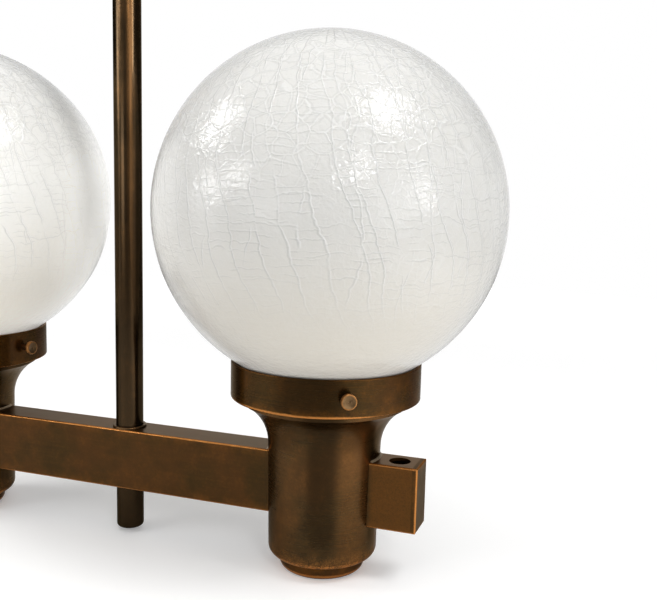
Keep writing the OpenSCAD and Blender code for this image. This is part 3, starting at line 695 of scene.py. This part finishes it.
small_bronze = bronze("screw_bronze", worn_all_over, rub=0.0016, warm=0.35)
paint(small_bronze, "worn_bronze", "stem_screw", "canopy_grub_screw")
zinc = metal("zinc", (0.58, 0.58, 0.56), (0.34, 0.33, 0.31), 0.38)
paint(zinc, "zinc_steel", "ceiling_bracket", "pivot_bolt", "pivot_nut", "right_nuts", "left_nuts")
rod_zinc = metal("threaded_zinc", (0.56, 0.56, 0.55), (0.32, 0.31, 0.30), 0.36, thread=ROD_PITCH)
paint(rod_zinc, "zinc_steel", "right_threaded_tube", "left_threaded_tube")
paint(metal("brass", BRASS, BRASS_TARNISH, 0.30), "bright_brass", "right_contact", "left_contact")
shell_brass = metal("shell_brass", BRASS, BRASS_TARNISH, 0.30, thread=SHELL_PITCH)
paint(shell_brass, "bright_brass", "right_screw_shell", "left_screw_shell")
cap_metal = metal("cap_nickel", (0.66, 0.64, 0.60), (0.45, 0.43, 0.39), 0.28)
paint(cap_metal, "zinc_steel", "right_bulb_cap", "left_bulb_cap")
porcelain = glaze("porcelain", (0.84, 0.83, 0.79), (0.76, 0.74, 0.69), 0.16, 0.02)
paint(porcelain, "porcelain", "right_lampholder", "left_lampholder")
plastic = glaze("white_plastic", (0.74, 0.74, 0.72), (0.66, 0.66, 0.63), 0.42, 0.01)
paint(plastic, "white_plastic", "terminal_block")
rubber = glaze("cable_sheath", (0.05, 0.05, 0.05), (0.09, 0.085, 0.08), 0.55, 0.008)
paint(rubber, "cable_sheath", "stem_cable", "right_lead", "left_lead")
paint(frosted_bulb(), "bulb_glass", "right_bulb", "left_bulb")
print("Small pieces painted")

# %% [markdown]
# ## Pieces made new
#
# A turned piece is a line of corners in the plane of radius and height, spun once round. `turned` starts a
# bmesh with that line and spins it. `finish_piece` closes it into a skin whose faces point outwards and makes
# it an object. A piece is put in its place by moving its mesh, so that its object stays at the origin, as the
# CAD nodes do.

# %% Helpers for new pieces
MERGE = 1e-6


def finish_piece(bm, name, material, body, smooth=40):
    """Turns a bmesh into an object that rides on a CAD body."""
    bmesh.ops.remove_doubles(bm, verts=bm.verts, dist=MERGE)
    bmesh.ops.recalc_face_normals(bm, faces=bm.faces)
    mesh = bpy.data.meshes.new(name)
    bm.to_mesh(mesh)
    bm.free()
    mesh.shade_smooth()
    mesh.set_sharp_from_angle(angle=radians(smooth))
    mesh.materials.append(material)
    piece = bpy.data.objects.new(name, mesh)
    bpy.context.collection.objects.link(piece)
    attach(piece, body)
    print(name, "has", len(mesh.polygons), "faces")
    return piece


def turned(corners, steps, angle=2 * pi, start=0.0):
    """A bmesh of a line of (radius, height) corners, spun round Z."""
    bm = bmesh.new()
    verts = [bm.verts.new((r * cos(start), r * sin(start), z)) for r, z in corners]
    edges = [bm.edges.new(pair) for pair in zip(verts, verts[1:])]
    bmesh.ops.spin(bm, geom=verts + edges, axis=(0, 0, 1), cent=(0, 0, 0), angle=angle, steps=steps,
                   use_merge=angle == 2 * pi)
    bmesh.ops.remove_doubles(bm, verts=bm.verts, dist=MERGE)
    return bm


print("Ready to turn pieces")

# %% [markdown]
# ## The thumb screws
#
# Each gallery has one screw whose tip presses on the globe's neck. Its head was turned on a lathe: a flat
# disc with a bright rim, a shallow dish and the small mark of the lathe's centre. The line below runs from
# the tip along the shank and a short collar to the head, and over its rim into the dish.

# %% The line of a thumb screw
SHANK_R, HEAD_R, HEAD_T = 0.002, 0.0043, 0.0026
COLLAR_R, COLLAR_T, DISH_R, MARK_R = SHANK_R + 0.0007, 0.0010, HEAD_R - 0.0012, 0.0008
NECK_R, SEAT_GAP = 0.049, 0.0003               # the globe's neck, and the screw tip's distance to it
HEAD_OUT, SCREW_UP = 0.0045, 0.011             # how far the head stands off the ring, and its height on it

tip_at, head_at = NECK_R + SEAT_GAP, RING_R + HEAD_OUT
face_at, screw_z = head_at + HEAD_T, ring_low.z + SCREW_UP
screw_line = [
    (0, tip_at), (SHANK_R - 0.0004, tip_at), (SHANK_R, tip_at + 0.0004),
    (SHANK_R, head_at - COLLAR_T), (COLLAR_R, head_at - 0.0008), (COLLAR_R, head_at),
    (HEAD_R - 0.0003, head_at), (HEAD_R, head_at + 0.0003),
    (HEAD_R, face_at - 0.0005), (HEAD_R - 0.00015, face_at - 0.00015),
    (HEAD_R - 0.0005, face_at), (HEAD_R - 0.0009, face_at - 0.00002),
    (DISH_R, face_at - 0.0002), (MARK_R, face_at - 0.00028),
    (MARK_R - 0.0002, face_at - 0.0006), (0, face_at - 0.0008),
]
print("A screw of", len(screw_line), "corners, from", round(tip_at, 4), "to", round(face_at, 4))

# %% [markdown]
# ## Turning the thumb screws
#
# The screw is spun round its own axis first, laid down, and turned to point outwards from its ring. The two
# screws point different ways. Their rims are rubbed bare, and the bare rim is also a painted highlight. To
# find the rim a point is measured across the axis of whichever screw it belongs to.

# %% Make the thumb screws
SCREW_TURNS = {"right": radians(-59), "left": radians(-4)}
RIM_START, RIM_FULL = HEAD_R - 0.0011, HEAD_R - 0.0004


# The rubbed bare rim is also a painted highlight along the rim.
def screw_rim_wear_and_highlight(look):
    """1 on the rim of a screw's head, which lies farthest from the screw's own axis."""
    turn_right, turn_left = SCREW_TURNS["right"], SCREW_TURNS["left"]
    out = look.x - look.x.maths("SIGN", look.x) * ARM
    to_right = look.x.fade(-0.001, 0.001)
    across = out * (to_right * (sin(turn_right) - sin(turn_left)) + sin(turn_left))
    across = across - look.y * (to_right * (cos(turn_right) - cos(turn_left)) + cos(turn_left))
    rise = look.z - screw_z
    return (across * across + rise * rise).root().fade(RIM_START, RIM_FULL) * 0.55


screw_look = metal("thumb_screw_bronze", (0.20, 0.120, 0.056), (0.11, 0.064, 0.030), 0.38, bare=screw_rim_wear_and_highlight)
for side, sign in SIDES.items():
    bm = turned(screw_line, steps=48)
    lay_down = Matrix.Rotation(radians(90), 4, "Y")
    aim = Matrix.Rotation(SCREW_TURNS[side], 4, "Z")
    in_ring = Matrix.Translation((sign * ARM, 0, screw_z))
    bmesh.ops.transform(bm, matrix=in_ring @ aim @ lay_down, verts=bm.verts)
    piece = finish_piece(bm, side + "_thumb_screw_turned", screw_look, side + "_thumb_screw",
                         30)
    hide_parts(side + "_thumb_screw")

# %% [markdown]
# ## The braze beside each cup
#
# Where the bar goes through a cup, a thin line of brighter metal has run into the corner between the bar's
# top and the cup. It is a small triangle spun only as far round the cup as the bar is wide.

# %% Make the braze lines
CUP_R, BRAZE, INTO_CUP, OFF_BAR = 0.033, 0.0012, 0.0002, 0.00003
BRAZE_HALF_W = BAR_HALF_W - 0.001
half_turn = 0.98 * asin(BRAZE_HALF_W / CUP_R)
braze_line = [(CUP_R - INTO_CUP, BRAZE), (CUP_R + 0.25 * BRAZE, 0.35 * BRAZE), (CUP_R + BRAZE, OFF_BAR),
              (CUP_R - INTO_CUP, OFF_BAR), (CUP_R - INTO_CUP, BRAZE)]
braze_look = metal("braze", (0.60, 0.46, 0.30), (0.34, 0.23, 0.13), 0.42)
for side, sign in SIDES.items():
    for where, outward in (("outer", sign), ("inner", -sign)):
        middle = 0 if outward > 0 else pi
        bm = turned(braze_line, steps=20, angle=2 * half_turn, start=middle - half_turn)
        bmesh.ops.holes_fill(bm, edges=[e for e in bm.edges if e.is_boundary], sides=8)
        bmesh.ops.translate(bm, verts=bm.verts, vec=(sign * ARM, 0, BAR_TOP))
        finish_piece(bm, f"{side}_{where}_braze", braze_look, "lamp")

# %% [markdown]
# ## The opal globes
#
# A globe is blown glass: a clear skin over white, never quite round, with a neck that sits in the gallery.
# A sphere is cut open at the neck's height, its cut edge is drawn down to make the neck, and the corner is
# melted smooth. A slow noise presses the ball in by up to a few tenths of a millimetre, as a mould and a pipe
# leave it, and last the skin gets its thickness inwards.

# %% Shape a globe
GLASS_T = 0.003
ROUND_STEPS, HEIGHT_STEPS, NECK_ROWS = 192, 96, 8
CORNER_REACH, MELTS = 0.0022, 6
DENT, WIDE_DENTS, SMALL_DENTS = 0.00014, 14, 40        # their depth, and how many fit in a metre


def blow_globe(sign):
    """A hollow globe with its neck, with its centre line through one cup."""
    cut_z = GLOBE_Z - sqrt(GLOBE_R**2 - NECK_R**2)
    bm = bmesh.new()
    bmesh.ops.create_uvsphere(bm, u_segments=ROUND_STEPS, v_segments=HEIGHT_STEPS, radius=GLOBE_R)
    bmesh.ops.translate(bm, verts=bm.verts, vec=(0, 0, GLOBE_Z))
    bmesh.ops.bisect_plane(bm, geom=bm.verts[:] + bm.edges[:] + bm.faces[:], plane_co=(0, 0, cut_z),
                           plane_no=(0, 0, 1), clear_inner=True)
    for _ in range(NECK_ROWS):
        rim = [e for e in bm.edges if e.is_boundary]
        drawn = bmesh.ops.extrude_edge_only(bm, edges=rim)["geom"]
        bmesh.ops.translate(bm, verts=[v for v in drawn if isinstance(v, bmesh.types.BMVert)],
                            vec=(0, 0, (globe_low.z - cut_z) / NECK_ROWS))
    corner = [v for v in bm.verts if abs(v.co.z - cut_z) < CORNER_REACH]
    for _ in range(MELTS):
        bmesh.ops.smooth_vert(bm, verts=corner, factor=0.5, use_axis_x=True, use_axis_y=True, use_axis_z=True)
    for v in bm.verts:
        out = (v.co - Vector((0, 0, GLOBE_Z))).normalized()
        dent = noise.noise(v.co * WIDE_DENTS + Vector((sign * 5, 0, 0)))
        dent = dent + 0.4 * noise.noise(v.co * SMALL_DENTS)
        above_neck = min(max((v.co.z - cut_z - 0.003) / 0.02, 0), 1)
        v.co -= out * DENT * (1.2 + dent) * above_neck
    bmesh.ops.recalc_face_normals(bm, faces=bm.faces)
    bmesh.ops.solidify(bm, geom=bm.faces[:], thickness=GLASS_T)
    bmesh.ops.translate(bm, verts=bm.verts, vec=(sign * ARM, 0, 0))
    return bm


print("Glass", GLASS_T, "thick, with a neck of radius", NECK_R)

# %% [markdown]
# ## Cracks from a row of cells
#
# The hot glass was dipped in water and blown up again, so its skin tore into ridges. A Voronoi texture of one
# number cuts a line into uneven cells. Where it is fed the way round the globe, the borders of its cells are
# lines that run down it, and where it is fed the height, they are level. A second line, a little beside each
# ridge, is its grey shadow side.

# %% Lines between the cells
def along(look, value, step, feature="DISTANCE_TO_EDGE", out="Distance"):
    """A row of uneven cells along a number, each about a step long."""
    return look.add("ShaderNodeTexVoronoi", {"voronoi_dimensions": "1D", "feature": feature},
                    {"W": value / step, "Scale": 1.0, "Randomness": 0.9}, out=out)


def line(distance, thick, soft):
    """1 nearer than thick to a border, and 0 beyond its soft edge."""
    return distance.fade(thick + soft, thick)


def crack(look, value, step, thick, soft, where):
    """A raised line, and the grey line along its shadow side."""
    return (line(along(look, value, step) * step, thick, soft) * where,
            line(along(look, value + 1.6 * soft, step) * step, thick, soft) * where)


print("Ready to crack the glass")

# %% [markdown]
# ## The long ridges
#
# They run down the globe like meridians that lean to one side, more so low down, with slow bends and quick
# kinks. A second, wider row of them is nearly upright and branches off the first. Noise hides parts of both
# rows, so no ridge runs on for ever.

# %% Ridges that run down the globe
RIDGE_STEP, BRANCH_STEP = 0.0130, 0.021


def long_ridges(look, round_way, rise):
    """The ridges, their branches, and the number of the strip that a point lies in."""
    bend = (look.cloud(0.050, detail=1, stretch=(0.8, 0.8, 1)) - 0.5) * 0.018
    kinks = (look.cloud(0.008, detail=2, stretch=(0.35, 0.35, 1), shift=2.0) - 0.5) * 0.0050
    lean = 0.20 + 0.16 * rise.fade(0.06, -0.03)
    first = round_way + rise * lean + bend + kinks
    second = round_way * 0.93 + rise * 0.02 + bend * 1.4 + kinks
    ridge = crack(look, first, RIDGE_STEP, 0.00009, 0.00046, look.cloud(0.024, shift=1.0).fade(0.34, 0.50))
    branch = crack(look, second, BRANCH_STEP, 0.00008, 0.00040, look.cloud(0.018, shift=4.0).fade(0.44, 0.58))
    return ridge, branch, along(look, first, RIDGE_STEP, "F1", "W")


print("Ridges every", RIDGE_STEP, "and branches every", BRANCH_STEP)

# %% [markdown]
# ## The level cracks
#
# Between two ridges the glass tore across, like the rungs of a ladder. The rungs of one strip don't meet
# those of the next, so the height is shifted by the strip's own number. A few longer cracks pass over the
# strips, and faint level waves show low down, where the glass is calm.

# %% Cracks that lie level
LADDER_STEP, RUNG_STEP, WAVE_STEP = 0.0042, 0.0125, 0.0034


def level_cracks(look, rise, strip):
    """The short rungs, the long cracks and the faint low waves."""
    waves = (look.cloud(0.008, detail=2, stretch=(1, 1, 0.35), shift=5.0) - 0.5) * 0.0050
    roll = (look.cloud(0.030, detail=1, shift=2.6) - 0.5) * 0.016
    ladder = crack(look, rise + strip * 0.031 + waves, LADDER_STEP, 0.00005, 0.00032,
                   look.cloud(0.012, shift=3.0).fade(0.42, 0.58))
    rung = crack(look, rise + roll + waves, RUNG_STEP, 0.00006, 0.00038,
                 look.cloud(0.020, shift=7.4).fade(0.44, 0.56))
    low_waves = line(along(look, rise * 1.3 + waves * 1.5, WAVE_STEP) * WAVE_STEP, 0.0001, 0.0006)
    return ladder, rung, low_waves


print("Rungs every", LADDER_STEP, "and long level cracks every", RUNG_STEP)

# %% [markdown]
# ## Cells and mesh
#
# Near the top the cracks mix into small cells, and the sides carry a finer mesh. Both are three-dimensional
# Voronoi patterns of the object's coordinates, bent by a little noise so that their walls aren't straight.

# %% The cells at the top and the fine mesh
CELLS, MESHES = 105, 190            # in a metre


def cells_and_mesh(look, round_way, rise):
    """The walls of the cells, their shadow side, and the fine mesh."""
    wobble = look.add("ShaderNodeTexNoise", {}, {"Vector": look.place, "Scale": 90.0}, out="Color")
    shift = look.add("ShaderNodeVectorMath", {"operation": "SCALE"}, {0: wobble, "Scale": 0.006})
    bent = look.add("ShaderNodeVectorMath", {"operation": "ADD"}, {0: look.place, 1: shift})
    cell = look.add("ShaderNodeTexVoronoi", {"feature": "DISTANCE_TO_EDGE"}, {"Vector": bent, "Scale": CELLS})
    net = look.add("ShaderNodeTexVoronoi", {"feature": "DISTANCE_TO_EDGE"}, {"Vector": bent, "Scale": MESHES})
    high_up = rise.fade(-0.01, 0.05)
    walls = line(cell / CELLS, 0.00008, 0.0004) * high_up
    walls_side = line(abs(cell / CELLS - 0.0007), 0.0001, 0.0004) * high_up
    off_front = abs(round_way + 0.08).fade(0.07, 0.15) * 0.75 + 0.25
    return walls, walls_side, line(net / MESHES, 0.00006, 0.00034) * off_front


print("About", CELLS, "cells and", MESHES, "meshes in a metre")

# %% [markdown]
# ## The crackle as a whole
#
# The ridges stand proud of the glass by a fifth of a millimetre, and the rest by less. The skin is uneven
# between them too, which breaks up the reflections of the lamps. `calm` keeps the crackle off the lower part
# and thins it out on one side, as on the real globes.

# %% Relief, raised lines and shadow lines
RIDGE_UP, BRANCH_UP, CELL_UP, LEVEL_UP, NET_UP = 0.00020, 0.00016, 0.00012, 0.00010, 0.00004


def crackle(look, out, rise):
    """The height of the skin, a painted highlight along its raised lines, and a painted shadow beside them.
    """
    round_way = out.angle_to(0 - look.y) * GLOBE_R
    (ridge, ridge_side), (branch, branch_side), strip = long_ridges(look, round_way, rise)
    (ladder, ladder_side), (rung, rung_side), low_waves = level_cracks(look, rise, strip)
    cells, cells_side, nets = cells_and_mesh(look, round_way, rise)
    calm = rise.fade(-0.062, -0.010) * (1 - abs(round_way + 0.11).fade(0.10, 0.02) * 0.6)
    net_reach = rise.fade(-0.085, -0.02)

    relief = (ridge * RIDGE_UP).most(branch * BRANCH_UP).most(cells * CELL_UP)
    relief = (relief + ladder.most(rung) * LEVEL_UP) * calm + nets * NET_UP * net_reach
    canvas = look.cloud(0.0026, detail=2, rough=0.6, shift=6.5)
    relief = relief + canvas * 0.00034 + look.cloud(0.011, detail=2, shift=9.0) * 0.00028

    # A painted highlight along the raised lines, the fine mesh and the low waves.
    raised = (ridge.most(branch) + ladder.most(rung) * 0.45 + cells * 0.50).least(1.0) * calm
    raised = (raised + nets * 0.30 * net_reach).least(1.0)
    wave_places = look.cloud(0.010, shift=5.5).fade(0.45, 0.60)
    raised = raised + low_waves * rise.fade(-0.01, -0.04) * wave_places * 0.18
    # A painted grey shadow beside the ridges, rungs and cell walls.
    shadow_lines = ridge_side.most(branch_side) + ladder_side.most(rung_side) * 0.75 + cells_side * 0.55
    return relief, raised, shadow_lines.least(1.0) * calm


print("Ridges stand proud by", RIDGE_UP, "and the fine mesh by", NET_UP)

# %% [markdown]
# ## The opal glass
#
# The white is cool above and creamier below, where it is painted with the warm light of the bronze beneath,
# and a painted sheen makes the clear skin whiter at the rim. Raised lines carry a painted highlight and their
# shadow side a painted grey shadow. The left globe is painted whiter, as painted light on its side that the
# right globe shades.
# White glass also passes light on inside, so its shaded side is never as dark as that of a painted ball. A
# dim glow stands for that, strongest on the side that is on the right in the photograph.

# %% Mix the opal glass
WHITENESS_AND_FILL = {"right": 1.0, "left": 1.16}       # the left globe is painted whiter, as painted light on the side that the right globe shades
WHITEST = 0.97
# The lower tone is creamier, painted with the warm light of the bronze beneath. The rim tone is a painted
# sheen.
UPPER, LOWER, RIM_SHEEN = (0.745, 0.735, 0.704), (0.79, 0.737, 0.640), (0.85, 0.843, 0.818)
# The grey is painted shadow beside the raised lines, and the white a painted highlight on them.
SHADOW_GREY, HIGHLIGHT_WHITE = (0.46, 0.46, 0.44), (0.92, 0.92, 0.91)
# Light that the glass passes on: the way to that side in degrees from X, the shares of the radius where it
# starts and is full, and how strong the light is there, all over and low down.
PASSED = {"right": (20, 0.75, 0.92, 0.09, 0.0, 0.04), "left": (43, 0.45, 0.80, 0.20, 0.12, 0.10)}


def passed_light(look, out, rise, side):
    """How strong the dim glow is at each place on the globe."""
    turn, start, full, far_share, share, low_share = PASSED[side]
    far = (out * cos(radians(turn)) + look.y * sin(radians(turn))) / GLOBE_R
    through = (far.fade(start, full) * far_share + share) * rise.fade(0.075, 0.015)
    return through + rise.fade(-0.045, -0.080) * low_share


def opal(side, sign):
    """The finish of one globe."""
    look = Finish(side + "_opal", IOR=1.5, Specular_IOR_Level=0.55, Subsurface_Weight=0.25,
                  Subsurface_Scale=0.008, Emission_Strength=1.0)
    look.material.cycles.emission_sampling = "NONE"      # a dim glow needs no rays of its own
    look.shader.inputs["Subsurface Radius"].default_value = (1.0, 0.95, 0.85)
    out, rise = look.x - sign * ARM, look.z - GLOBE_Z
    relief, raised, shadow_lines = crackle(look, out, rise)
    upper, lower, sheen_white = (
        tuple(min(WHITENESS_AND_FILL[side] * c, WHITEST) for c in tone) for tone in (UPPER, LOWER, RIM_SHEEN))
    # A painted sheen: the rim, seen at a low angle, turns whiter.
    rim = look.add("ShaderNodeLayerWeight", {}, {"Blend": 0.35}, out="Facing")
    # Creamier low down: painted warm light from the bronze beneath.
    milk_and_painted_light = look.blend(rise.fade(0.012, -0.082), upper, lower)
    milk_and_painted_light = look.blend(rim.fade(0.25, 0.95), milk_and_painted_light, sheen_white)
    # Painted shadow beside the raised lines, then a painted highlight on them.
    milk_and_painted_light = look.blend(shadow_lines * 0.38, milk_and_painted_light, SHADOW_GREY)
    milk_and_painted_light = look.blend(raised * 0.38, milk_and_painted_light, HIGHLIGHT_WHITE)
    passed = look.blend(passed_light(look, out, rise, side), (0, 0, 0), (1.0, 0.99, 0.95))
    return look.wear(Base_Color=milk_and_painted_light, Roughness=0.03 + look.cloud(0.02, shift=6.0) * 0.05,
                     Emission_Color=passed, Normal=look.bump(relief))


for side, sign in SIDES.items():
    globe = finish_piece(blow_globe(sign), side + "_globe_blown", opal(side, sign), side + "_globe",
                         60)
    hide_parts(side + "_globe")

# %% [markdown]
# ## Finish
#
# The visual model has to stay within the CAD model's box.
